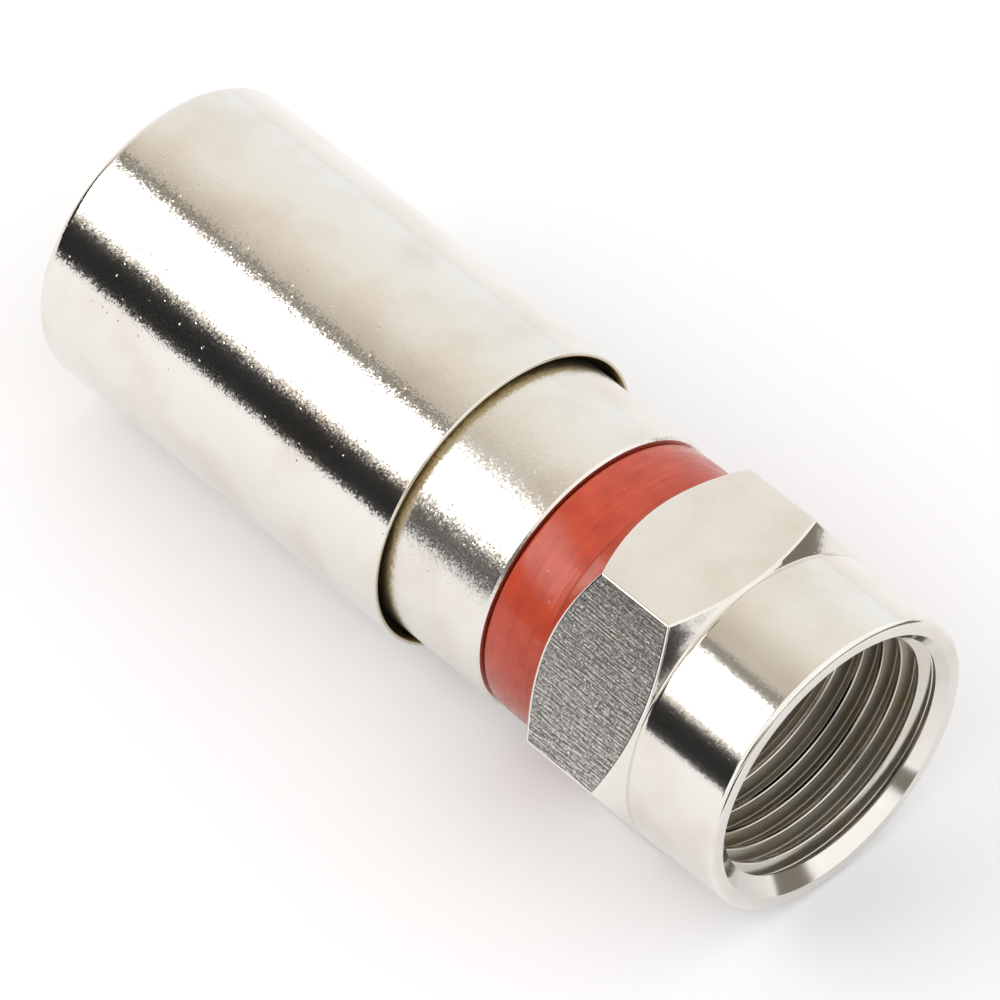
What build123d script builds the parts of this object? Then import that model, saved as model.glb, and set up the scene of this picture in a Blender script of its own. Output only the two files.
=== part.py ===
from build123d import *
import os
from math import cos, pi, radians, tan

# A male F connector of the compression type, lying on its side, in millimetres.
# The axis runs along X with the nut's mouth towards +X, and the floor is the plane Z = 0.
# A station is a distance along the axis, measured from the nut's mouth towards the cable.
# The hexagon's width drives the radii of the nut, the post and the neck.
# The sleeve's radius drives those of the sleeve, the barrel, the marker ring and the grip ring.

# Coupling nut
nut_length = 8.53
hexagon_across_flats = 11.1
hexagon_front_bevel_angle = 30
hexagon_rear_bevel_angle = 43
rear_face_inset = 0.35
collar_length = 3.9
collar_inset = 0.05
mouth_rim_width = 0.52
mouth_edge_rounding = 0.12
mouth_bevel = 0.59
thread_relief_depth = 0.46
thread_relief_margin = 0.15
lip_thickness = 0.9
counterbore_depth = 1.63
counterbore_edge_bevel = 0.15

# Post
flange_height = 0.9
flange_thickness = 0.8
flange_edge_rounding = 0.1
shank_wall = 0.8
shank_engagement = 4.4
post_bore_edge_bevel = 0.15
tube_wall = 0.45
barb_height = 0.25
barb_length = 0.9
barb_count = 3
barb_spacing = 1.3
post_end_recess = 0.2

# Body
neck_wall = 0.79
neck_front_bevel = 0.15
o_ring_groove_depth = 0.38
shoulder_height = 0.91
shoulder_bevel = 0.08
barrel_wall = 0.91
barrel_rear_edge_bevel = 0.3
barrel_mouth_bevel = 0.25

# Marker ring
marker_ring_inset = 0.15
marker_ring_width = 2.24
marker_ring_crown = 0.08
marker_ring_edge_rounding = 0.16

# O-ring on the neck
o_ring_thickness = 0.76

# Compression sleeve
sleeve_radius = 5.65
sleeve_length = 16.4
sleeve_wall = 0.39
sleeve_rear_wall = 1.0
sleeve_rear_edge_rounding = 0.34
sleeve_front_edge_rounding = 0.05
sleeve_lead_in_width = 0.19
sleeve_lead_in_length = 0.55
cable_hole_step = 0.2
cable_hole_edge_bevel = 0.3
exposed_barrel_length = 4.35

# Grip ring
grip_flange_thickness = 1.79
grip_nose_wall = 0.22
grip_nose_taper = 0.1
grip_bore_edge_bevel = 0.2

# Clearances between the pieces
press_gap = 0.01
spin_clearance = 0.06
slide_clearance = 0.05
flange_clearance = 0.29
nut_play = 0.15
ring_front_gap = 0.15
ring_back_gap = 0.02
o_ring_seat_gap = 0.02
o_ring_side_gap = 0.08
o_ring_running_gap = 0.03
sleeve_stop_gap = 0.15
grip_stop_gap = 0.1
grip_nose_gap = 0.3
grip_nose_clearance = 0.08
cut_overrun = 1

# Radii of the nut, the post, the neck and its O-ring, worked out
half_flats = hexagon_across_flats / 2
corner_radius = half_flats / cos(pi / 6)
rear_face_radius = half_flats - rear_face_inset
collar_radius = half_flats - collar_inset
mouth_radius = collar_radius - mouth_rim_width
thread_core_radius = mouth_radius - mouth_bevel
thread_relief_radius = thread_core_radius + thread_relief_depth
flange_radius = thread_core_radius - flange_clearance
shank_radius = flange_radius - flange_height
post_bore_radius = shank_radius - shank_wall
tube_radius = post_bore_radius + tube_wall
lip_bore_radius = shank_radius + spin_clearance
press_bore_radius = shank_radius + press_gap
neck_radius = press_bore_radius + neck_wall
groove_floor_radius = neck_radius - o_ring_groove_depth
o_ring_inner_radius = groove_floor_radius + o_ring_seat_gap
counterbore_radius = o_ring_inner_radius + o_ring_thickness + o_ring_running_gap

# Radii of the sleeve, the barrel, the marker ring and the grip ring, worked out
sleeve_bore_radius = sleeve_radius - sleeve_wall
barrel_radius = sleeve_bore_radius - slide_clearance
cavity_radius = barrel_radius - barrel_wall
ring_seat_radius = barrel_radius - shoulder_height
marker_ring_radius = barrel_radius - marker_ring_inset
grip_flange_radius = sleeve_bore_radius - press_gap
grip_nose_radius = cavity_radius - grip_nose_clearance
grip_nose_tip_radius = grip_nose_radius - grip_nose_taper
grip_bore_radius = grip_nose_tip_radius - grip_nose_wall
cable_hole_radius = grip_bore_radius + cable_hole_step

# Stations, worked out from the mouth backwards
lip_rear = nut_length - counterbore_depth
lip_front = lip_rear - lip_thickness
flange_rear = lip_front - nut_play
flange_front = flange_rear - flange_thickness
thread_end = flange_front - thread_relief_margin
neck_front = lip_rear + nut_play
ring_front = nut_length + ring_front_gap
ring_rear = ring_front + marker_ring_width
o_ring_station = (neck_front + ring_front) / 2
shoulder = ring_rear + ring_back_gap
shank_end = neck_front + shank_engagement
sleeve_front = shoulder + exposed_barrel_length
sleeve_end = sleeve_front + sleeve_length
sleeve_travel = exposed_barrel_length - sleeve_stop_gap
sleeve_bore_end = sleeve_end - sleeve_rear_wall
grip_flange_front = sleeve_bore_end - grip_flange_thickness
barrel_end = grip_flange_front - sleeve_travel - grip_stop_gap
post_end = barrel_end - post_end_recess

overall_length = sleeve_end
axis_height = max(sleeve_radius, half_flats)


def x_at(station):
    """The X of a station, with the connector centred over the origin."""
    return overall_length / 2 - station


def turned(*corners):
    """A turned solid from its half section: (station, radius) corners in order, each with any rounding."""
    points = [(x_at(station), radius) for station, radius, *rounding in corners]
    roundings = [sum(rounding) for station, radius, *rounding in corners]
    outline = FilletPolyline(*points, radius=roundings, close=True)
    return revolve(make_face(outline), Axis.X)


def hexagon_bar():
    """Hexagon bar stock as long as the nut, with a flat facing down."""
    section = Plane.YZ * RegularPolygon(half_flats, 6, major_radius=False)
    return Pos(x_at(nut_length), 0, 0) * extrude(section, nut_length)


def nut_envelope():
    """What the lathe leaves of the bar: the collar, and bevels that cut the hexagon's corners back."""
    reach = corner_radius + cut_overrun
    front_rise = (reach - collar_radius) * tan(radians(hexagon_front_bevel_angle))
    rear_rise = (reach - rear_face_radius) * tan(radians(hexagon_rear_bevel_angle))
    return turned(
        (0, 0),
        (0, collar_radius, mouth_edge_rounding),
        (collar_length, collar_radius),
        (collar_length + front_rise, reach),
        (nut_length - rear_rise, reach),
        (nut_length, rear_face_radius),
        (nut_length, 0),
    )


def nut_bore():
    """Mouth bevel, thread core, relief behind the thread, lip bore and the counterbore at the back."""
    counterbore_edge = counterbore_radius + counterbore_edge_bevel
    return turned(
        (-cut_overrun, 0),
        (-cut_overrun, mouth_radius),
        (0, mouth_radius),
        (mouth_bevel, thread_core_radius),
        (thread_end, thread_core_radius),
        (thread_end, thread_relief_radius),
        (lip_front, thread_relief_radius),
        (lip_front, lip_bore_radius),
        (lip_rear, lip_bore_radius),
        (lip_rear, counterbore_radius),
        (nut_length - counterbore_edge_bevel, counterbore_radius),
        (nut_length, counterbore_edge),
        (nut_length + cut_overrun, counterbore_edge),
        (nut_length + cut_overrun, 0),
    )


def coupling_nut():
    """Hexagon nut with a round collar. The fine thread is left out, so its wall is the thread's core."""
    return (hexagon_bar() & nut_envelope()) - nut_bore()


def barb(rear):
    """One tooth round the post's tube: a ramp up from the cable's side and a steep face to the front."""
    root_radius = tube_radius - tube_wall / 2
    return turned(
        (rear, root_radius),
        (rear, tube_radius),
        (rear - barb_length, tube_radius + barb_height),
        (rear - barb_length, root_radius),
    )


def post():
    """Flange inside the nut, shank pressed into the body, and the barbed tube that goes under the braid."""
    step = shank_radius - tube_radius
    blank = turned(
        (flange_front, post_bore_radius + post_bore_edge_bevel),
        (flange_front, flange_radius, flange_edge_rounding),
        (flange_rear, flange_radius, flange_edge_rounding),
        (flange_rear, shank_radius),
        (shank_end - step, shank_radius),
        (shank_end, tube_radius),
        (post_end, tube_radius),
        (post_end, post_bore_radius),
        (flange_front + post_bore_edge_bevel, post_bore_radius),
    )
    for index in range(barb_count):
        blank += barb(post_end - index * barb_spacing)
    return blank


def connector_body():
    """Grooved neck, seat for the marker ring, and the barrel with its cavity for the cable's jacket."""
    groove_half_width = o_ring_thickness / 2 + o_ring_side_gap
    groove_front = o_ring_station - groove_half_width
    groove_rear = o_ring_station + groove_half_width
    cavity_slope = cavity_radius - press_bore_radius
    return turned(
        (neck_front, press_bore_radius),
        (neck_front, neck_radius - neck_front_bevel),
        (neck_front + neck_front_bevel, neck_radius),
        (groove_front, neck_radius),
        (groove_front, groove_floor_radius),
        (groove_rear, groove_floor_radius),
        (groove_rear, neck_radius),
        (ring_front, neck_radius),
        (ring_front, ring_seat_radius),
        (shoulder, ring_seat_radius),
        (shoulder, barrel_radius - shoulder_bevel),
        (shoulder + shoulder_bevel, barrel_radius),
        (barrel_end - barrel_rear_edge_bevel, barrel_radius),
        (barrel_end, barrel_radius - barrel_rear_edge_bevel),
        (barrel_end, cavity_radius + barrel_mouth_bevel),
        (barrel_end - barrel_mouth_bevel, cavity_radius),
        (shank_end + cavity_slope, cavity_radius),
        (shank_end, press_bore_radius),
    )


def marker_ring():
    """Moulded ring with a crowned outside and rounded edges, seated on the body in front of its shoulder."""
    bore_radius = ring_seat_radius + press_gap
    front, rear = x_at(ring_front), x_at(ring_rear)
    crown = ThreePointArc(
        (front, marker_ring_radius),
        ((front + rear) / 2, marker_ring_radius + marker_ring_crown),
        (rear, marker_ring_radius),
    )
    walls = Polyline(
        (rear, marker_ring_radius),
        (rear, bore_radius),
        (front, bore_radius),
        (front, marker_ring_radius),
    )
    section = make_face([crown, walls])
    rims = section.vertices().group_by(Axis.Y)[-1]
    return revolve(fillet(rims, marker_ring_edge_rounding), Axis.X)


def nut_o_ring():
    """Round-section ring in the neck's groove, with a running gap to the nut's counterbore."""
    section_radius = o_ring_thickness / 2
    centre = Pos(x_at(o_ring_station), o_ring_inner_radius + section_radius)
    return revolve(centre * Circle(section_radius), Axis.X)


def compression_sleeve():
    """Thin outer sleeve with a lead-in at the front and a wall with the cable's hole at the back."""
    return turned(
        (sleeve_front, sleeve_bore_radius + sleeve_lead_in_width),
        (sleeve_front, sleeve_radius, sleeve_front_edge_rounding),
        (sleeve_end, sleeve_radius, sleeve_rear_edge_rounding),
        (sleeve_end, cable_hole_radius + cable_hole_edge_bevel),
        (sleeve_end - cable_hole_edge_bevel, cable_hole_radius),
        (sleeve_bore_end, cable_hole_radius),
        (sleeve_bore_end, sleeve_bore_radius),
        (sleeve_front + sleeve_lead_in_length, sleeve_bore_radius),
    )


def grip_ring():
    """Flanged plastic ring whose tapered nose goes into the body's mouth when the sleeve is driven home."""
    nose_front = barrel_end + grip_nose_gap
    return turned(
        (nose_front, grip_bore_radius),
        (nose_front, grip_nose_tip_radius),
        (grip_flange_front, grip_nose_radius),
        (grip_flange_front, grip_flange_radius),
        (sleeve_bore_end, grip_flange_radius),
        (sleeve_bore_end, grip_bore_radius + grip_bore_edge_bevel),
        (sleeve_bore_end - grip_bore_edge_bevel, grip_bore_radius),
    )


PIECES = [coupling_nut, post, connector_body, marker_ring, nut_o_ring, compression_sleeve, grip_ring]

os.makedirs("parts", exist_ok=True)
for piece in PIECES:
    export_step(Pos(0, 0, axis_height) * piece(), f"parts/{piece.__name__}.step")
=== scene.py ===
from math import cos, pi, radians, sin, sqrt, tan

import bmesh
import bpy
from bpy.props import FloatProperty, FloatVectorProperty, PointerProperty
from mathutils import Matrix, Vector


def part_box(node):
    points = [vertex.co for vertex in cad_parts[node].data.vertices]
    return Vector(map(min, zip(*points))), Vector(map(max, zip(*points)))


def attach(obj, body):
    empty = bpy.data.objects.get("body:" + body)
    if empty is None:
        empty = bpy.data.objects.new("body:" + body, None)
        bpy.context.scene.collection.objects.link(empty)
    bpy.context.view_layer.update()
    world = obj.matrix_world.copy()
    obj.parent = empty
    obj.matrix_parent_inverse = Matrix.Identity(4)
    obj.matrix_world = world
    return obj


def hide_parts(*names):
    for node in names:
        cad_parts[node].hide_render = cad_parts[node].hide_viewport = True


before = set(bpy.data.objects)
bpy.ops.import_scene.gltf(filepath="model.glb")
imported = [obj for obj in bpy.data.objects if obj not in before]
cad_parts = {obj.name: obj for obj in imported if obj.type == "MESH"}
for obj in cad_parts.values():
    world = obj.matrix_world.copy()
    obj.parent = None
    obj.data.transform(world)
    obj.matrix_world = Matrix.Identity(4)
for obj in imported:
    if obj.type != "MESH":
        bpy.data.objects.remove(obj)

bl_info = {
    "name": "Coaxial connector",
    "version": (1, 0, 0),
    "blender": (4, 5, 0),
    "location": "View3D > Sidebar > Connector",
    "description": "Models the threaded nut, the barrel, the marker ring and the sleeve of an F connector",
    "category": "Object",
}

# The axis runs along X with the nut's mouth towards +X. A station is a distance back from the mouth.
# Lengths are in metres, and MM turns those that are written in millimetres into them.
MM = 0.001
MOUTH_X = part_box("coupling_nut")[1].x
HALF_FLATS = (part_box("coupling_nut")[1].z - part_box("coupling_nut")[0].z) / 2
SLEEVE_RADIUS = (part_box("compression_sleeve")[1].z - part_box("compression_sleeve")[0].z) / 2
AXIS_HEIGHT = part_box("compression_sleeve")[0].z + SLEEVE_RADIUS
AXIS_POINT = Vector((0, 0, AXIS_HEIGHT))
# The ways that the six flats face.
FLAT_WAYS = [Vector((0, sin(turn * pi / 3), cos(turn * pi / 3))) for turn in range(6)]
# Vertices closer than MERGED are merged. A vertex within ON_RIM of a rim and a face within ON_FLAT of a flat
# count as lying on it.
MERGED = 0.001 * MM
ON_RIM = 0.002 * MM
ON_FLAT = 0.005 * MM
# Faces at a greater angle than this meet in a sharp edge.
SHARP_ANGLE = radians(32)
# Faces whose areas differ by less than this, in square millimetres, count as equal in weighted shading.
EQUAL_AREAS = 0.02
# The cards that stand at the mouth and under the camera: each one's middle in millimetres, the way it faces,
# its width and height in millimetres, and its colour. The mouth's bevel, the broken edges and the wedges
# beside the hexagon's corners mirror them.
CARDS = (
    ("card_before_mouth", (60, -5.25, 6), (1, 0, 0), 13.5, 12, "card"),
    ("low_card_before_mouth", (28, -8, 3.25), (1, 0, 0), 6, 6.5, "card"),
    ("card_right_of_mouth", (42, 27, 6), (0.77, 0.64, 0), 60, 12, "cloth"),
    ("card_under_camera", (140.6, -58.8, 40), (0.87, -0.49, 0), 35, 60, "cloth"),
    ("dark_card_under_camera", (123.4, -89.2, 40), (0.87, -0.49, 0), 35, 60, "card"),
)
# The room's shades round the connector's axis, from the horizon on the far side (0) over the top to the one
# on the camera's side (1). It is white on the far side and a warm grey overhead and towards the camera.
ROOM_SHADES = (
    (0.0, "#fafdff"), (0.11, "#f8f9f7"), (0.22, "#f7f6f1"), (0.33, "#f5f2eb"), (0.38, "#f3ede5"),
    (0.44, "#eae3da"), (0.49, "#dcd4c9"), (0.55, "#cfc6ba"), (0.83, "#cfc6ba"), (1.0, "#e6e6e4"),
)


def mm(name, value, description):
    """A length property, given in millimetres."""
    return FloatProperty(name=name, default=value * MM, description=description, unit="LENGTH", precision=5)


def angle(name, value, description):
    """An angle property, given in degrees."""
    return FloatProperty(name=name, default=radians(value), description=description, subtype="ANGLE")


def number(name, value, description):
    """A property that is a plain number."""
    return FloatProperty(name=name, default=value, description=description)


def colour(name, code, description):
    """A colour property, given as an sRGB hex code."""
    return FloatVectorProperty(
        name=name, default=linear(code), description=description, subtype="COLOR", size=3, min=0, max=1
    )


def linear(code):
    """The linear red, green and blue of an sRGB hex code."""
    channels = [int(code[place:place + 2], 16) / 255 for place in (1, 3, 5)]
    return tuple(c / 12.92 if c <= 0.04045 else ((c + 0.055) / 1.055) ** 2.4 for c in channels)


class NutSizes(bpy.types.PropertyGroup):
    across_flats: mm("Across flats", 2 * HALF_FLATS / MM, "Width of the hexagon")
    length: mm("Length", 8.53, "From the mouth to the rear face")
    collar_radius: mm("Collar radius", 5.5, "Radius of the round collar")
    collar_length: mm("Collar length", 3.9, "Length of the collar's cylinder")
    front_bevel: angle("Front bevel", 30, "Slope of the bevel behind the collar, off a plane across the axis")
    rear_bevel: angle("Rear bevel", 43, "Slope of the bevel at the back, off a plane across the axis")
    rear_face_radius: mm("Rear face radius", 5.2, "Outer radius of the flat face at the back")
    mouth_radius: mm("Mouth radius", 4.98, "Radius at which the mouth's bevel starts")
    mouth_bevel: mm("Mouth bevel", 0.55, "Width of the mouth's bevel")
    mouth_rounding: mm("Mouth rounding", 0.2, "Rounding of the mouth's outer edge")
    root_front: mm("Collar root front", 3.74, "Station where the relief at the collar's root starts")
    root_depth: mm("Collar root depth", 0.045, "Depth of the relief, where it meets the front bevel")
    root_rounding: mm("Collar root rounding", 0.03, "Rounding of the relief's foot, doubled at its front")
    core_radius: mm("Thread core radius", 4.39, "Radius of the thread's crests")
    relief_start: mm("Relief start", 4.9, "Station where the thread ends")
    relief_radius: mm("Relief radius", 4.85, "Radius of the groove behind the thread")
    lip_front: mm("Lip front", 6.0, "Station of the lip that the post's flange holds")
    lip_rear: mm("Lip rear", 6.9, "Station of the lip's back")
    lip_radius: mm("Lip radius", 3.26, "Radius of the lip's bore")
    counterbore_radius: mm("Counterbore radius", 4.43, "Radius of the bore over the neck's ring")
    counterbore_bevel: mm("Counterbore bevel", 0.15, "Bevel on the counterbore's edge")
    edge_break: mm("Edge break", 0.07, "Width of the worn edges round each flat")
    pitch: mm("Thread pitch", 0.79375, "32 turns to the inch")
    groove_radius: mm("Thread groove radius", 4.78, "Radius of the thread's grooves")


class SleeveSizes(bpy.types.PropertyGroup):
    front: mm("Front", 15.29, "Station of the sleeve's front")
    length: mm("Length", 16.4, "Length of the sleeve")
    radius: mm("Radius", SLEEVE_RADIUS / MM, "Outer radius")
    bore_radius: mm("Bore radius", 5.26, "Radius of the bore that slides over the barrel")
    bore_end: mm("Bore end", 30.69, "Station where the bore ends")
    lead_in_width: mm("Lead-in width", 0.26, "How far the lead-in opens the bore")
    lead_in_length: mm("Lead-in length", 0.42, "How deep the lead-in goes")
    front_rounding: mm("Front rounding", 0.05, "Rounding of the front's outer edge")
    rear_rounding: mm("Rear rounding", 0.34, "Rounding of the back's outer edge")
    hole_radius: mm("Cable hole radius", 4.1, "Radius of the hole for the cable")
    hole_bevel: mm("Cable hole bevel", 0.3, "Bevel on the hole's edge")


class BodySizes(bpy.types.PropertyGroup):
    neck_front: mm("Neck front", 7.05, "Station of the neck's front")
    press_radius: mm("Press bore radius", 3.21, "Radius of the bore that the post is pressed into")
    neck_radius: mm("Neck radius", 4.0, "Radius of the neck inside the nut")
    neck_bevel: mm("Neck bevel", 0.15, "Bevel on the neck's front edge")
    groove_front: mm("Groove front", 7.405, "Station of the rubber ring's groove")
    groove_rear: mm("Groove rear", 8.325, "Station of the groove's back")
    groove_radius: mm("Groove radius", 3.62, "Radius of the groove's floor")
    seat_front: mm("Seat front", 8.68, "Station of the marker ring's seat")
    seat_radius: mm("Seat radius", 4.3, "Radius of the marker ring's seat")
    shoulder: mm("Shoulder", 10.94, "Station of the shoulder behind the marker ring")
    shoulder_bevel: mm("Shoulder bevel", 0.08, "Bevel on the shoulder's edge")
    radius: mm("Radius", 5.21, "Outer radius of the barrel")
    end: mm("End", 24.6, "Station of the barrel's end")
    rear_bevel: mm("Rear bevel", 0.3, "Bevel on the barrel's rear edge")
    cavity_bevel: mm("Cavity bevel", 0.25, "Bevel on the cavity's edge")
    cavity_radius: mm("Cavity radius", 4.3, "Radius of the cavity for the cable's jacket")
    cavity_floor: mm("Cavity floor", 11.45, "Station where the cavity starts to widen")


class RingSizes(bpy.types.PropertyGroup):
    front: mm("Front", 8.61, "Station of the ring's front")
    width: mm("Width", 2.31, "Width of the ring")
    radius: mm("Radius", 5.06, "Outer radius at the ring's edges")
    crown: mm("Crown", 0.08, "How far the middle stands out")
    bore_radius: mm("Bore radius", 4.31, "Radius of the bore on its seat")
    front_rounding: mm("Front rounding", 0.04, "Rounding of the outer edge beside the nut")
    rear_rounding: mm("Rear rounding", 0.22, "Rounding of the outer edge beside the shoulder")


class FinishSettings(bpy.types.PropertyGroup):
    nickel: colour("Nickel", "#e8e5df", "Bright nickel plate")
    stained: colour("Stained nickel", "#dbd1c5", "Faint stains where the plate has been handled")
    thin_nickel: colour("Thin nickel", "#c4beb2", "Thin plate over brass inside the bores")
    brassy: colour("Brassy nickel", "#c4b58f", "Thinnest plate, where the brass shows through")
    red: colour("Red", "#c54e35", "Plastic of the marker ring")
    dark_red: colour("Dark red", "#a7371f", "Streaks in the marker ring")
    natural: colour("Natural", "#dcd8cb", "Plastic of the grip ring")
    rubber: colour("Rubber", "#1d1d1e", "Rubber of the ring inside the nut")


class StudioSettings(bpy.types.PropertyGroup):
    camera_azimuth: angle("Camera azimuth", 46.95, "Round from looking along +Y")
    camera_elevation: angle("Camera elevation", 48.4, "Above the horizon")
    camera_distance: mm("Camera distance", 281, "From the point that it looks at")
    aim_along: mm("Aim along", 0.45, "Place along the axis that the camera looks at")
    aim_across: mm("Aim across", -0.08, "How far from the axis the camera looks")
    lens: number("Lens", 314.4, "Focal length on a 36 mm sensor, in millimetres")
    lamp_distance: mm("Lamp distance", 200, "From the connector to the left softbox")
    lamp_width: mm("Lamp width", 212, "Width of the left softbox")
    lamp_shift: mm("Lamp shift", 4, "How far the left softbox is moved away from the camera")
    lamp_bottom: mm("Lamp bottom", 104, "Height of the left softbox's lower edge")
    lamp_top: mm("Lamp top", 279, "Height of the left softbox's upper edge")
    lamp_strength: number("Lamp strength", 2.6, "Brightness, where paper white is 1")
    screen_width: mm("Screen width", 400, "Width of the card below the softbox and of the cloth over it")
    card_gap: mm("Card gap", 18, "Between the left softbox and the card below it")
    cloth_height: mm("Cloth height", 76, "Height of the cloth over the left softbox")
    room_strength: number("Room strength", 1.08, "Brightness of the pale room")
    right_strength: number("Right strength", 1.2, "Brightness of the white half beyond the mouth")
    paper_side: mm("Paper side", 6000, "Side of the sheet of paper")
    paper_glow: number("Paper glow", 0.1, "How much light the paper adds where it is seen")
    paper: colour("Paper", "#e9e9eb", "Paper as the camera and the metal see it")
    paper_bounce: colour("Paper bounce", "#a3a5a8", "Paper as matt surfaces see it")
    card: colour("Card", "#2b2b2b", "Dark cards that the metal reflects")
    cloth: colour("Cloth", "#8f8a80", "Grey cloth over the softbox, beside the mouth and under the camera")


def node(tree, kind, inputs=None, stops=(), **settings):
    """Adds a node with its settings and a ramp's stops, and sets or links its inputs."""
    made = tree.nodes.new(kind)
    for name, value in settings.items():
        setattr(made, name, value)
    for name, value in (inputs or {}).items():
        if isinstance(value, bpy.types.NodeSocket):
            tree.links.new(value, made.inputs[name])
        else:
            made.inputs[name].default_value = value
    if stops:
        elements = made.color_ramp.elements
        while len(elements) < len(stops):
            elements.new(0.5)
        for element, (position, shade) in zip(elements, stops):
            element.position = position
            element.color = (*shade, 1)
    return made


def new_material(name):
    """An empty node material and its tree."""
    material = bpy.data.materials.new(name)
    material.use_nodes = True
    material.node_tree.nodes.clear()
    return material, material.node_tree


def maths(tree, operation, *terms):
    """The outcome of a sum on numbers, each a socket or a value."""
    return node(tree, "ShaderNodeMath", dict(enumerate(terms)), operation=operation).outputs["Value"]


def vector_maths(tree, operation, *terms):
    """The outcome of a sum on vectors, each a socket or a value."""
    return node(tree, "ShaderNodeVectorMath", dict(enumerate(terms)), operation=operation).outputs["Vector"]


def spread(tree, value, start, end, low=0.0, high=1.0, curve="LINEAR"):
    """Low where the value is at start, high where it is at end, and between them in between."""
    return node(
        tree,
        "ShaderNodeMapRange",
        {"Value": value, "From Min": start, "From Max": end, "To Min": low, "To Max": high},
        interpolation_type=curve,
    ).outputs["Result"]


def blend(tree, factor, first, second):
    """A mix of two colours, each a socket or a linear colour."""
    inputs = {"Factor": factor}
    for side, shade in (("A", first), ("B", second)):
        inputs[side] = shade if isinstance(shade, bpy.types.NodeSocket) else (*shade, 1)
    return node(tree, "ShaderNodeMix", inputs, data_type="RGBA").outputs["Result"]


def place_on_axis(tree):
    """The place on the connector in millimetres, with the axis through the origin."""
    place = node(tree, "ShaderNodeTexCoord").outputs["Object"]
    return node(
        tree,
        "ShaderNodeMapping",
        {"Vector": place, "Location": (0, 0, -AXIS_HEIGHT / MM), "Scale": (1 / MM, 1 / MM, 1 / MM)},
    ).outputs["Vector"]


def stretched(tree, place, along, across):
    """The place in units of one length along the axis and of another across it."""
    return node(
        tree, "ShaderNodeMapping", {"Vector": place, "Scale": (1 / along, 1 / across, 1 / across)}
    ).outputs["Vector"]


def noise(tree, place, width, detail):
    """Noise with features of that width."""
    inputs = {"Vector": place, "Scale": 1 / width, "Detail": detail}
    return node(tree, "ShaderNodeTexNoise", inputs).outputs["Fac"]


def cells(tree, place, width):
    """Cells of that width: the distance from their middles, and a random colour for each."""
    found = node(tree, "ShaderNodeTexVoronoi", {"Vector": place, "Scale": 1 / width}).outputs
    return found["Distance"], found["Color"]


def relief(tree, *layers):
    """The normal of a surface with layers of relief, each a (socket, millimetres) pair."""
    height = 0.0
    for socket, tall in layers:
        height = maths(tree, "MULTIPLY_ADD", socket, tall, height)
    inputs = {"Height": height, "Distance": MM, "Strength": 1.0}
    return node(tree, "ShaderNodeBump", inputs).outputs["Normal"]


def coat(tree, inputs):
    """Gives the material a surface with these inputs."""
    surface = node(tree, "ShaderNodeBsdfPrincipled", inputs)
    node(tree, "ShaderNodeOutputMaterial", {"Surface": surface.outputs["BSDF"]})


def plated_brass(
    name, finish, bore, bore_radius, tilt=0.0, pits=0.0, swell=0.004, drawn=0.0, turned=0.0, roughness=0.12,
    bore_roughness=0.2, crest_radius=None, back=None,
):
    """Bright nickel plate over brass. Electroplating copies the metal under it, so the mirror is broken by
    the grain of the brass and by scattered pits, which show as specks where a bright reflection meets a dark
    one. Inside bore_radius the plate is thin and dull and has the colour bore. It stays bright at the mouth
    and on the crests of a thread that has a crest_radius, and on a back face, which stands at x = back.
    Lengths are in millimetres, and tilt is how far the grains lean out of the surface."""
    material, tree = new_material(name)
    place = place_on_axis(tree)
    along = node(tree, "ShaderNodeSeparateXYZ", {"Vector": place}).outputs["X"]
    across = vector_maths(tree, "MULTIPLY", place, (0, 1, 1))
    distance = node(tree, "ShaderNodeVectorMath", {0: across}, operation="LENGTH").outputs["Value"]

    # A slow swell of 1.5 mm, which gives the mirror its faint clouds.
    swells = noise(tree, place, 1.5, 1.0)
    # Pits of 0.1 mm, in some of the cells.
    from_middle, random = cells(tree, place, 0.3)
    bowl = spread(tree, from_middle, 0.0, 0.2, -1.0, 0.0, "SMOOTHSTEP")
    bowls = maths(tree, "MULTIPLY", bowl, maths(tree, "GREATER_THAN", random, 0.55))
    # Lines left by drawing the bar through its die: 0.08 mm wide and 0.6 mm long, along the axis.
    lines = noise(tree, stretched(tree, place, 0.6, 0.08), 1.0, 1.0)
    # Rings left by the lathe tool's feed of 0.12 mm.
    rings = noise(tree, stretched(tree, place, 0.12, 20.0), 1.0, 1.0)
    smooth = relief(tree, (swells, swell), (bowls, pits), (lines, drawn), (rings, turned))
    # Grains of 0.055 mm, each leaning its own way. The real ones are finer and wouldn't show.
    lean = vector_maths(tree, "SUBTRACT", cells(tree, place, 0.055)[1], (0.5, 0.5, 0.5))
    leaning = vector_maths(tree, "MULTIPLY_ADD", lean, (tilt, tilt, tilt), smooth)

    # Where the plate is dull, as (measure, where it is bright, where it is dull).
    fades = [(distance, bore_radius + 0.08, bore_radius)]
    if crest_radius is not None:
        mouth = MOUTH_X / MM
        fades += [(along, mouth - 0.5, mouth - 1.5), (distance, crest_radius, crest_radius + 0.05)]
    if back is not None:
        fades.append((along, back, back + 0.3))
    dull = 1.0
    for measure, bright_at, dull_at in fades:
        dull = maths(tree, "MULTIPLY", dull, spread(tree, measure, bright_at, dull_at))
    # Stains a few millimetres across, hardly darker than the plate, and patches in the bores where the
    # brass shows through.
    clouds = noise(tree, place, 2.6, 5.0)
    outside = blend(tree, spread(tree, clouds, 0.45, 0.85), finish.nickel, finish.stained)
    inside = blend(tree, spread(tree, clouds, 0.48, 0.72), bore, finish.brassy)
    coat(tree, {
        "Base Color": blend(tree, dull, outside, inside),
        "Metallic": 1.0,
        "Roughness": spread(tree, dull, 0.0, 1.0, roughness, bore_roughness),
        "Normal": vector_maths(tree, "NORMALIZE", leaning),
    })
    return material


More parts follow.
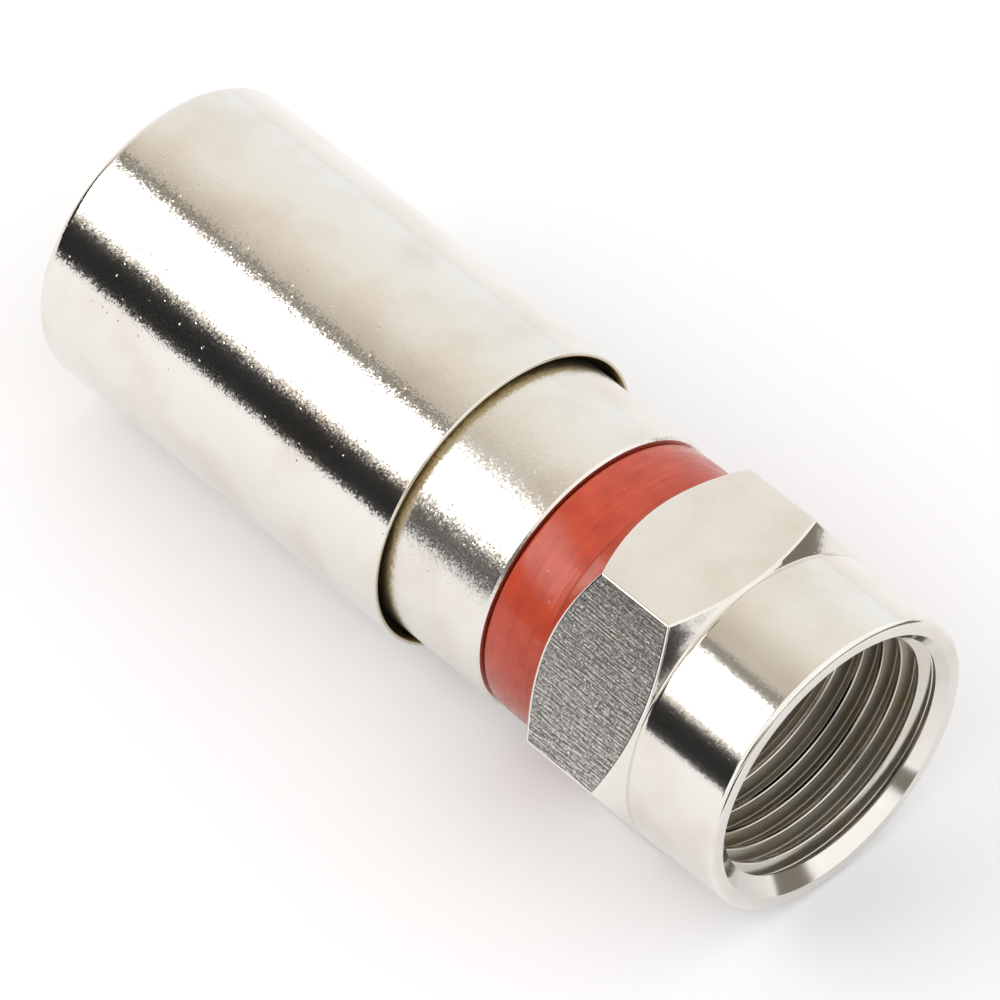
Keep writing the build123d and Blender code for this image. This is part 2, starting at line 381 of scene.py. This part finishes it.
def red_acetal(name, finish):
    """Moulded red acetal. Flow and handling leave fine streaks round the ring, which break up its soft
    highlight, and a few pale specks of dust."""
    material, tree = new_material(name)
    place = place_on_axis(tree)
    # Streaks 0.12 mm wide and several millimetres long, round the ring.
    streaks = noise(tree, stretched(tree, place, 0.12, 2.5), 1.0, 3.0)
    # Clouds of 0.7 mm, where the gloss comes and goes.
    clouds = noise(tree, place, 0.7, 3.0)
    mottle = maths(tree, "ADD", streaks, clouds)
    tinted = blend(tree, spread(tree, mottle, 0.6, 1.35), finish.dark_red, finish.red)
    # Specks of dust up to 0.1 mm across, one in every few square millimetres.
    from_middle, random = cells(tree, place, 0.55)
    dust = spread(tree, from_middle, 0.0, 0.12, maths(tree, "SUBTRACT", random, 0.45), 0.0)
    coat(tree, {
        "Base Color": blend(tree, dust, tinted, finish.natural),
        "IOR": 1.48,
        "Roughness": spread(tree, mottle, 0.7, 1.3, 0.32, 0.14),
        "Normal": relief(tree, (streaks, 0.004), (clouds, 0.012)),
    })
    return material


def natural_polyethylene(name, finish):
    """Moulded natural polyethylene, waxy and a little cloudy."""
    material, tree = new_material(name)
    clouds = noise(tree, place_on_axis(tree), 0.8, 2.0)
    coat(tree, {
        "Base Color": (*finish.natural, 1),
        "IOR": 1.51,
        "Roughness": spread(tree, clouds, 0.0, 1.0, 0.35, 0.55),
        "Normal": relief(tree, (clouds, 0.02)),
    })
    return material


def nitrile_rubber(name, finish):
    """Black nitrile rubber, pressed in a mould, with a fine matt skin."""
    material, tree = new_material(name)
    skin = noise(tree, place_on_axis(tree), 0.06, 2.0)
    coat(tree, {"Base Color": (*finish.rubber, 1), "Roughness": 0.6, "Normal": relief(tree, (skin, 0.004))})
    return material


def start_piece(name):
    """A new object on the axis, in edit mode with one vertex selected: a plane merged to its middle."""
    bpy.ops.object.select_all(action="DESELECT")
    bpy.ops.mesh.primitive_plane_add(size=MM, location=AXIS_POINT)
    piece = bpy.context.object
    piece.name = piece.data.name = name
    bpy.ops.object.mode_set(mode="EDIT")
    bpy.ops.mesh.select_mode(type="VERT")
    bpy.ops.mesh.merge(type="CENTER")
    return piece


def draw(points):
    """Moves the selected vertex to the first (x, radius) point and extrudes it along the others."""
    bpy.ops.transform.translate(value=(points[0][0], 0, points[0][1]))
    for (last_x, last_radius), (x, radius) in zip(points, points[1:]):
        bpy.ops.mesh.extrude_vertices_move(
            TRANSFORM_OT_translate={"value": (x - last_x, 0, radius - last_radius)}
        )


def select(piece, kind, wanted):
    """In edit mode, selects the vertices, edges or faces that pass the test."""
    bpy.ops.mesh.select_mode(type=kind)
    bpy.ops.mesh.select_all(action="DESELECT")
    mesh = bmesh.from_edit_mesh(piece.data)
    for part in {"VERT": mesh.verts, "EDGE": mesh.edges, "FACE": mesh.faces}[kind]:
        if wanted(part):
            part.select_set(True)
    bmesh.update_edit_mesh(piece.data)


def radius_of(point):
    """How far a point is from the axis, on a piece whose origin is on the axis."""
    return sqrt(point.y ** 2 + point.z ** 2)


def turned(name, corners, steps=256):
    """A turned piece from its closed half section: (station, radius) corners in order, some with a rounding
    too. The section is drawn and spun about the axis, and the corners with a rounding are bevelled."""
    piece = start_piece(name)
    points = [(MOUTH_X - station, radius) for station, radius, *rounding in corners]
    draw(points + points[:1])
    bpy.ops.mesh.select_all(action="SELECT")
    bpy.ops.mesh.remove_doubles(threshold=MERGED)
    bpy.ops.mesh.spin(steps=steps, angle=2 * pi, center=AXIS_POINT, axis=(1, 0, 0))
    bpy.ops.mesh.select_all(action="SELECT")
    bpy.ops.mesh.remove_doubles(threshold=MERGED)
    bpy.ops.mesh.normals_make_consistent(inside=False)
    for station, radius, *rounding in corners:
        if rounding:
            round_rim(piece, station, radius, rounding[0])
    return piece


def round_rim(piece, station, radius, rounding):
    """Bevels the edge that runs round the piece at that station and radius."""
    def on_rim(edge):
        return all(
            abs(vertex.co.x - (MOUTH_X - station)) < ON_RIM and abs(radius_of(vertex.co) - radius) < ON_RIM
            for vertex in edge.verts
        )

    select(piece, "EDGE", on_rim)
    bpy.ops.mesh.bevel(offset=rounding, offset_type="OFFSET", segments=4, profile=0.5, affect="EDGES")


def apply_modifier(piece, kind, **settings):
    """Adds a modifier with its settings and applies it."""
    bpy.ops.object.modifier_add(type=kind)
    modifier = piece.modifiers[-1]
    for name, value in settings.items():
        setattr(modifier, name, value)
    bpy.ops.object.modifier_apply(modifier=modifier.name)


def finish_piece(piece, body, replaced, materials):
    """Smooths the piece's shading, puts its place in its mesh, and gives it its body and finish."""
    bpy.ops.object.mode_set(mode="OBJECT")
    bpy.ops.object.shade_smooth_by_angle(angle=SHARP_ANGLE)
    # The modifier gives up on faces this small in metres, so it works on the piece in millimetres.
    piece.scale = (1 / MM, 1 / MM, 1 / MM)
    bpy.ops.object.transform_apply(location=False, rotation=False, scale=True)
    apply_modifier(piece, "WEIGHTED_NORMAL", keep_sharp=True, weight=75, thresh=EQUAL_AREAS)
    piece.scale = (MM, MM, MM)
    bpy.ops.object.transform_apply(location=True, rotation=True, scale=True)
    for index, material in enumerate(materials):
        if index < len(piece.data.materials):
            piece.data.materials[index] = material
        else:
            piece.data.materials.append(material)
    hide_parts(replaced)
    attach(piece, body)


def thread_tap(size):
    """What the thread cuts away: a pitch of its profile, screwed along the axis and closed at both ends."""
    piece = start_piece("thread_tap")
    pitch = size.pitch
    turns = 7
    # The tap starts outside the mouth, so that it cuts the mouth's bevel too.
    start = MOUTH_X + 0.9 * MM
    middle = pitch / 2
    deep = size.groove_radius
    slope = tan(radians(30))
    # The groove's flanks stand at 60 degrees to each other, and ease into its floor.
    ease = 0.03 * MM
    floor = pitch / 8
    shallow = size.core_radius + ease
    flank = floor + (deep - shallow) * slope
    # Each point is a distance from the middle of the groove, and a radius.
    half = [
        (0.7 * floor, deep),
        (floor + ease * slope, deep - ease),
        (flank, shallow),
    ]
    # Beyond the flank it rounds the crest off and leaves the core, in millimetres from the flank's end.
    half += [
        (flank + beyond * MM, shallow - below * MM)
        for beyond, below in ((0.012, 0.015), (0.03, 0.027), (0.055, 0.033))
    ]
    half.append((middle, size.core_radius - 0.05 * MM))
    before = [(middle - width, radius) for width, radius in reversed(half)]
    after = [(middle + width, radius) for width, radius in half]
    draw([(start + (x - pitch), radius) for x, radius in before + after])
    bpy.ops.object.mode_set(mode="OBJECT")
    apply_modifier(
        piece,
        "SCREW",
        axis="X",
        angle=-2 * pi,
        screw_offset=-pitch,
        iterations=turns,
        steps=128,
        render_steps=128,
    )
    bpy.ops.object.mode_set(mode="EDIT")
    bpy.ops.mesh.select_all(action="SELECT")
    bpy.ops.mesh.remove_doubles(threshold=MERGED)
    half_way = start - turns / 2 * pitch
    for end in (1, -1):
        select(piece, "EDGE", lambda edge: edge.is_boundary and (edge.verts[0].co.x - half_way) * end > 0)
        bpy.ops.mesh.extrude_region()
        bpy.ops.mesh.merge(type="CENTER")
    bpy.ops.mesh.select_all(action="SELECT")
    bpy.ops.mesh.normals_make_consistent(inside=False)
    bpy.ops.object.mode_set(mode="OBJECT")
    return piece


def cut_away(piece, cutter):
    """Cuts the cutter's shape out of the piece and deletes the cutter."""
    bpy.ops.object.select_all(action="DESELECT")
    piece.select_set(True)
    bpy.context.view_layer.objects.active = piece
    apply_modifier(piece, "BOOLEAN", operation="DIFFERENCE", solver="EXACT", object=cutter)
    bpy.ops.object.select_all(action="DESELECT")
    cutter.select_set(True)
    bpy.ops.object.delete()
    piece.select_set(True)
    bpy.context.view_layer.objects.active = piece


def nut_section(size):
    """The nut's half section before its flats are cut, which reaches past the hexagon's corners."""
    reach = size.across_flats / 2 / cos(pi / 6) + 1 * MM
    return [
        (0, size.mouth_radius),
        (0, size.collar_radius, size.mouth_rounding),
        (size.root_front, size.collar_radius, 2 * size.root_rounding),
        (
            size.collar_length - size.root_depth * tan(size.front_bevel),
            size.collar_radius - size.root_depth,
            size.root_rounding,
        ),
        (size.collar_length + (reach - size.collar_radius) * tan(size.front_bevel), reach),
        (size.length - (reach - size.rear_face_radius) * tan(size.rear_bevel), reach),
        (size.length, size.rear_face_radius),
        (size.length, size.counterbore_radius + size.counterbore_bevel),
        (size.length - size.counterbore_bevel, size.counterbore_radius),
        (size.lip_rear, size.counterbore_radius),
        (size.lip_rear, size.lip_radius),
        (size.lip_front, size.lip_radius),
        (size.lip_front, size.relief_radius),
        (size.relief_start, size.relief_radius),
        (size.relief_start, size.core_radius),
        (size.mouth_bevel, size.core_radius),
    ]


class CONNECTOR_OT_nut(bpy.types.Operator):
    """Turns the coupling nut, cuts its flats, breaks their edges and cuts the thread"""

    bl_idname = "connector.nut"
    bl_label = "Coupling nut"

    def execute(self, context):
        size = context.scene.connector_nut
        finish = context.scene.connector_finish
        half_flats = size.across_flats / 2
        piece = turned("coupling_nut_plated", nut_section(size))
        for way in FLAT_WAYS:
            bpy.ops.mesh.select_all(action="SELECT")
            bpy.ops.mesh.bisect(
                plane_co=AXIS_POINT + way * half_flats,
                plane_no=way,
                use_fill=True,
                clear_outer=True,
                threshold=0.1 * MERGED,
            )

        def on_flat(face):
            middle = face.calc_center_median()
            return any(
                face.normal.dot(way) > 0.9999 and abs(middle.dot(way) - half_flats) < ON_FLAT
                for way in FLAT_WAYS
            )

        def in_bore(face):
            middle = face.calc_center_median()
            depth = MOUTH_X - middle.x
            edge = 0.01 * MM
            return edge < depth < size.lip_front - edge and radius_of(middle) < size.mouth_radius + edge

        select(piece, "EDGE", lambda edge: any(on_flat(face) for face in edge.link_faces))
        bpy.ops.mesh.bevel(
            offset=size.edge_break, offset_type="OFFSET", segments=2, profile=0.5, affect="EDGES"
        )
        bpy.ops.object.mode_set(mode="OBJECT")
        cut_away(piece, thread_tap(size))

        while len(piece.data.materials) < 3:
            piece.data.materials.append(None)
        bpy.ops.object.mode_set(mode="EDIT")
        bpy.ops.mesh.select_all(action="SELECT")
        bpy.ops.mesh.remove_doubles(threshold=MERGED)
        for slot, wanted in ((1, on_flat), (2, in_bore)):
            select(piece, "FACE", wanted)
            piece.active_material_index = slot
            bpy.ops.object.material_slot_assign()
        materials = [
            plated_brass(
                "nickel_plate_on_turned_brass", finish, finish.thin_nickel, bore_radius=4.6,
                tilt=0.02, pits=0.0015, swell=0.002, turned=0.0003,
            ),
            plated_brass(
                "nickel_plate_on_drawn_brass", finish, finish.thin_nickel, bore_radius=4.6,
                tilt=0.055, pits=0.008, drawn=0.005, roughness=0.22,
            ),
            plated_brass(
                "nickel_plate_on_threaded_brass", finish, finish.thin_nickel, bore_radius=5.5,
                turned=0.0005, bore_roughness=0.37, crest_radius=4.4,
            ),
        ]
        finish_piece(piece, "nut", "coupling_nut", materials)
        return {"FINISHED"}


class CONNECTOR_OT_sleeve(bpy.types.Operator):
    """Turns the compression sleeve with its lead-in and its rounded back"""

    bl_idname = "connector.sleeve"
    bl_label = "Compression sleeve"

    def execute(self, context):
        size = context.scene.connector_sleeve
        finish = context.scene.connector_finish
        end = size.front + size.length
        piece = turned(
            "compression_sleeve_plated",
            [
                (size.front, size.bore_radius + size.lead_in_width),
                (size.front, size.radius, size.front_rounding),
                (end, size.radius, size.rear_rounding),
                (end, size.hole_radius + size.hole_bevel),
                (end - size.hole_bevel, size.hole_radius),
                (size.bore_end, size.hole_radius),
                (size.bore_end, size.bore_radius),
                (size.front + size.lead_in_length, size.bore_radius),
            ],
        )
        metal = plated_brass(
            "nickel_plate_on_sleeve", finish, finish.brassy, bore_radius=5.53,
            tilt=0.045, pits=0.008, back=(MOUTH_X - end) / MM,
        )
        finish_piece(piece, "sleeve", "compression_sleeve", [metal])
        return {"FINISHED"}


class CONNECTOR_OT_body(bpy.types.Operator):
    """Turns the body with its grooved neck, the marker ring's seat and the barrel"""

    bl_idname = "connector.body"
    bl_label = "Body"

    def execute(self, context):
        size = context.scene.connector_body
        finish = context.scene.connector_finish
        piece = turned(
            "connector_body_plated",
            [
                (size.neck_front, size.press_radius),
                (size.neck_front, size.neck_radius - size.neck_bevel),
                (size.neck_front + size.neck_bevel, size.neck_radius),
                (size.groove_front, size.neck_radius),
                (size.groove_front, size.groove_radius),
                (size.groove_rear, size.groove_radius),
                (size.groove_rear, size.neck_radius),
                (size.seat_front, size.neck_radius),
                (size.seat_front, size.seat_radius),
                (size.shoulder, size.seat_radius),
                (size.shoulder, size.radius - size.shoulder_bevel),
                (size.shoulder + size.shoulder_bevel, size.radius),
                (size.end - size.rear_bevel, size.radius),
                (size.end, size.radius - size.rear_bevel),
                (size.end, size.cavity_radius + size.cavity_bevel),
                (size.end - size.cavity_bevel, size.cavity_radius),
                (size.cavity_floor + size.cavity_radius - size.press_radius, size.cavity_radius),
                (size.cavity_floor, size.press_radius),
            ],
        )
        metal = plated_brass(
            "nickel_plate_on_barrel", finish, finish.thin_nickel, bore_radius=4.5,
            tilt=0.09, pits=0.007, roughness=0.23,
        )
        finish_piece(piece, "body", "connector_body", [metal])
        return {"FINISHED"}


class CONNECTOR_OT_ring(bpy.types.Operator):
    """Turns the crowned marker ring with its rounded edges"""

    bl_idname = "connector.ring"
    bl_label = "Marker ring"

    def execute(self, context):
        size = context.scene.connector_ring
        finish = context.scene.connector_finish
        crown = [
            (size.front + size.width * part / 12, size.radius + size.crown * (1 - (part / 6 - 1) ** 2))
            for part in range(1, 12)
        ]
        piece = turned(
            "marker_ring_red",
            [
                (size.front, size.bore_radius),
                (size.front, size.radius, size.front_rounding),
                *crown,
                (size.front + size.width, size.radius, size.rear_rounding),
                (size.front + size.width, size.bore_radius),
            ],
        )
        finish_piece(
            piece, "body", "marker_ring", [red_acetal("moulded_red_acetal", finish)]
        )
        return {"FINISHED"}


class CONNECTOR_OT_hidden(bpy.types.Operator):
    """Gives the post, the grip ring and the rubber ring their finishes"""

    bl_idname = "connector.hidden"
    bl_label = "Post, grip ring and rubber ring"

    def execute(self, context):
        finish = context.scene.connector_finish
        finishes = {
            "post": plated_brass(
                "nickel_plate_on_post", finish, finish.thin_nickel, bore_radius=4.0,
                tilt=0.04, pits=0.006, turned=0.0006,
            ),
            "grip_ring": natural_polyethylene("moulded_natural_polyethylene", finish),
            "nut_o_ring": nitrile_rubber("black_nitrile_rubber", finish),
        }
        for name, material in finishes.items():
            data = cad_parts[name].data
            data.materials.clear()
            data.materials.append(material)
        return {"FINISHED"}


def aim(thing, back):
    """Turns a lamp, a card or the camera so that back points out of its back, with its top upwards."""
    thing.rotation_mode = "QUATERNION"
    thing.rotation_quaternion = (-back).to_track_quat("-Z", "Y")


def softbox(name, middle, facing, width, height, strength):
    """A lamp that shines on the connector, as bright as paper white times its strength."""
    light = bpy.data.lights.new(name, "AREA")
    light.shape = "RECTANGLE"
    light.size, light.size_y = width, height
    light.energy = strength * pi * width * height
    lamp = bpy.data.objects.new(name, light)
    bpy.context.collection.objects.link(lamp)
    lamp.location = middle
    aim(lamp, facing)
    lamp.visible_camera = False


def dark_card(name, middle, facing, width, height, shade):
    """A dark card standing upright, which only reflections show."""
    bpy.ops.object.select_all(action="DESELECT")
    bpy.ops.mesh.primitive_plane_add(size=1, location=middle)
    card = bpy.context.object
    card.name = name
    aim(card, facing)
    card.scale = (width, height, 1)
    material, tree = new_material(name)
    matt = node(tree, "ShaderNodeBsdfDiffuse", {"Color": (*shade, 1)})
    node(tree, "ShaderNodeOutputMaterial", {"Surface": matt.outputs["BSDF"]})
    card.data.materials.append(material)
    card.visible_camera = False
    card.visible_diffuse = False
    card.visible_shadow = False


def set_up_camera(studio):
    """Looks at the connector as the photo does."""
    azimuth, elevation = studio.camera_azimuth, studio.camera_elevation
    back = Vector((sin(azimuth) * cos(elevation), -cos(azimuth) * cos(elevation), sin(elevation)))
    lens = bpy.data.cameras.new("camera")
    lens.sensor_width = 36
    lens.lens = studio.lens
    lens.clip_start, lens.clip_end = 0.01, 20
    camera = bpy.data.objects.new("camera", lens)
    bpy.context.collection.objects.link(camera)
    looked_at = Vector((studio.aim_along, studio.aim_across, AXIS_HEIGHT))
    camera.location = looked_at + back * studio.camera_distance
    aim(camera, back)
    bpy.context.scene.camera = camera


def lay_paper(studio):
    """Lays white paper, which matt surfaces see as a darker one, so that it throws less light back up."""
    bpy.ops.object.select_all(action="DESELECT")
    bpy.ops.mesh.primitive_plane_add(size=studio.paper_side, location=(0, 0, 0))
    paper = bpy.context.object
    paper.name = "paper"
    material, tree = new_material("white_paper")
    rays = node(tree, "ShaderNodeLightPath").outputs
    seen = rays["Is Camera Ray"]
    for ray in ("Is Glossy Ray", "Is Transmission Ray"):
        seen = maths(tree, "MAXIMUM", seen, rays[ray])
    shade = blend(tree, seen, studio.paper_bounce, studio.paper)
    matt = node(tree, "ShaderNodeBsdfDiffuse", {"Color": shade})
    # The paper glows a little where it is seen, as white paper does when a backdrop light fills it.
    glow = node(tree, "ShaderNodeEmission", {"Strength": maths(tree, "MULTIPLY", seen, studio.paper_glow)})
    surface = node(tree, "ShaderNodeAddShader", {0: matt.outputs["BSDF"], 1: glow.outputs["Emission"]})
    node(tree, "ShaderNodeOutputMaterial", {"Surface": surface.outputs["Shader"]})
    paper.data.materials.append(material)


def hang_lamp_and_cards(studio):
    """Hangs the softbox on the camera's left, with a dark card below it and a grey cloth over it, and puts up
    the other cards."""
    azimuth = studio.camera_azimuth
    left = Vector((-cos(azimuth), -sin(azimuth), 0))
    away = Vector((-sin(azimuth), cos(azimuth), 0))
    up = Vector((0, 0, 1))
    tall = studio.lamp_top - studio.lamp_bottom
    stand = left * studio.lamp_distance + away * studio.lamp_shift
    softbox(
        "left_softbox", stand + up * (studio.lamp_bottom + tall / 2), left, studio.lamp_width, tall,
        studio.lamp_strength,
    )
    below = studio.lamp_bottom - studio.card_gap
    dark_card("card_below_softbox", stand + up * below / 2, left, studio.screen_width, below, studio.card)
    above = stand + up * (studio.lamp_top + studio.cloth_height / 2)
    dark_card("cloth_over_softbox", above, left, studio.screen_width, studio.cloth_height, studio.cloth)
    shades = {"card": studio.card, "cloth": studio.cloth}
    for name, middle, facing, width, height, shade in CARDS:
        dark_card(name, Vector(middle) * MM, Vector(facing), width * MM, height * MM, shades[shade])


def light_room(studio):
    """A pale room, whose shades run round the connector's axis, and white beyond the connector's mouth."""
    world = bpy.data.worlds.new("room")
    bpy.context.scene.world = world
    world.use_nodes = True
    tree = world.node_tree
    tree.nodes.clear()
    generated = node(tree, "ShaderNodeTexCoord").outputs["Generated"]
    way = node(tree, "ShaderNodeSeparateXYZ", {"Vector": generated}).outputs
    round_axis = maths(tree, "ARCTAN2", maths(tree, "MULTIPLY", way["Y"], -1.0), way["Z"])
    ramp = node(
        tree,
        "ShaderNodeValToRGB",
        {"Fac": spread(tree, round_axis, -pi / 2, pi / 2)},
        stops=[(position, linear(code)) for position, code in ROOM_SHADES],
    )
    # The white half lights the rims that face it.
    beyond = spread(tree, way["X"], -0.25, 0.1, curve="SMOOTHSTEP")
    white = (studio.right_strength / studio.room_strength,) * 3
    shade = blend(tree, beyond, ramp.outputs["Color"], white)
    background = node(tree, "ShaderNodeBackground", {"Color": shade, "Strength": studio.room_strength})
    node(tree, "ShaderNodeOutputWorld", {"Surface": background.outputs["Background"]})


class CONNECTOR_OT_stage(bpy.types.Operator):
    """Lays the paper, hangs the lamp and the cards, lights the room and sets up the camera"""

    bl_idname = "connector.stage"
    bl_label = "Stage"

    def execute(self, context):
        studio = context.scene.connector_studio
        set_up_camera(studio)
        lay_paper(studio)
        hang_lamp_and_cards(studio)
        light_room(studio)
        context.scene.view_settings.view_transform = "Standard"
        return {"FINISHED"}


class CONNECTOR_PT_sidebar(bpy.types.Panel):
    bl_label = "Connector"
    bl_idname = "CONNECTOR_PT_sidebar"
    bl_space_type = "VIEW_3D"
    bl_region_type = "UI"
    bl_category = "Connector"

    def draw(self, context):
        for operator in OPERATORS:
            self.layout.operator(operator.bl_idname)


OPERATORS = [
    CONNECTOR_OT_nut,
    CONNECTOR_OT_sleeve,
    CONNECTOR_OT_body,
    CONNECTOR_OT_ring,
    CONNECTOR_OT_hidden,
    CONNECTOR_OT_stage,
]
SETTINGS = {
    "connector_nut": NutSizes,
    "connector_sleeve": SleeveSizes,
    "connector_body": BodySizes,
    "connector_ring": RingSizes,
    "connector_finish": FinishSettings,
    "connector_studio": StudioSettings,
}


def register():
    for entry in [*SETTINGS.values(), *OPERATORS, CONNECTOR_PT_sidebar]:
        bpy.utils.register_class(entry)
    for name, group in SETTINGS.items():
        setattr(bpy.types.Scene, name, PointerProperty(type=group))


def unregister():
    for name in SETTINGS:
        delattr(bpy.types.Scene, name)
    for entry in [CONNECTOR_PT_sidebar, *reversed(OPERATORS), *SETTINGS.values()]:
        bpy.utils.unregister_class(entry)


def main():
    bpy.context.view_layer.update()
    register()
    bpy.ops.connector.nut()
    bpy.ops.connector.sleeve()
    bpy.ops.connector.body()
    bpy.ops.connector.ring()
    bpy.ops.connector.hidden()
    bpy.ops.connector.stage()


if __name__ == "__main__":
    main()
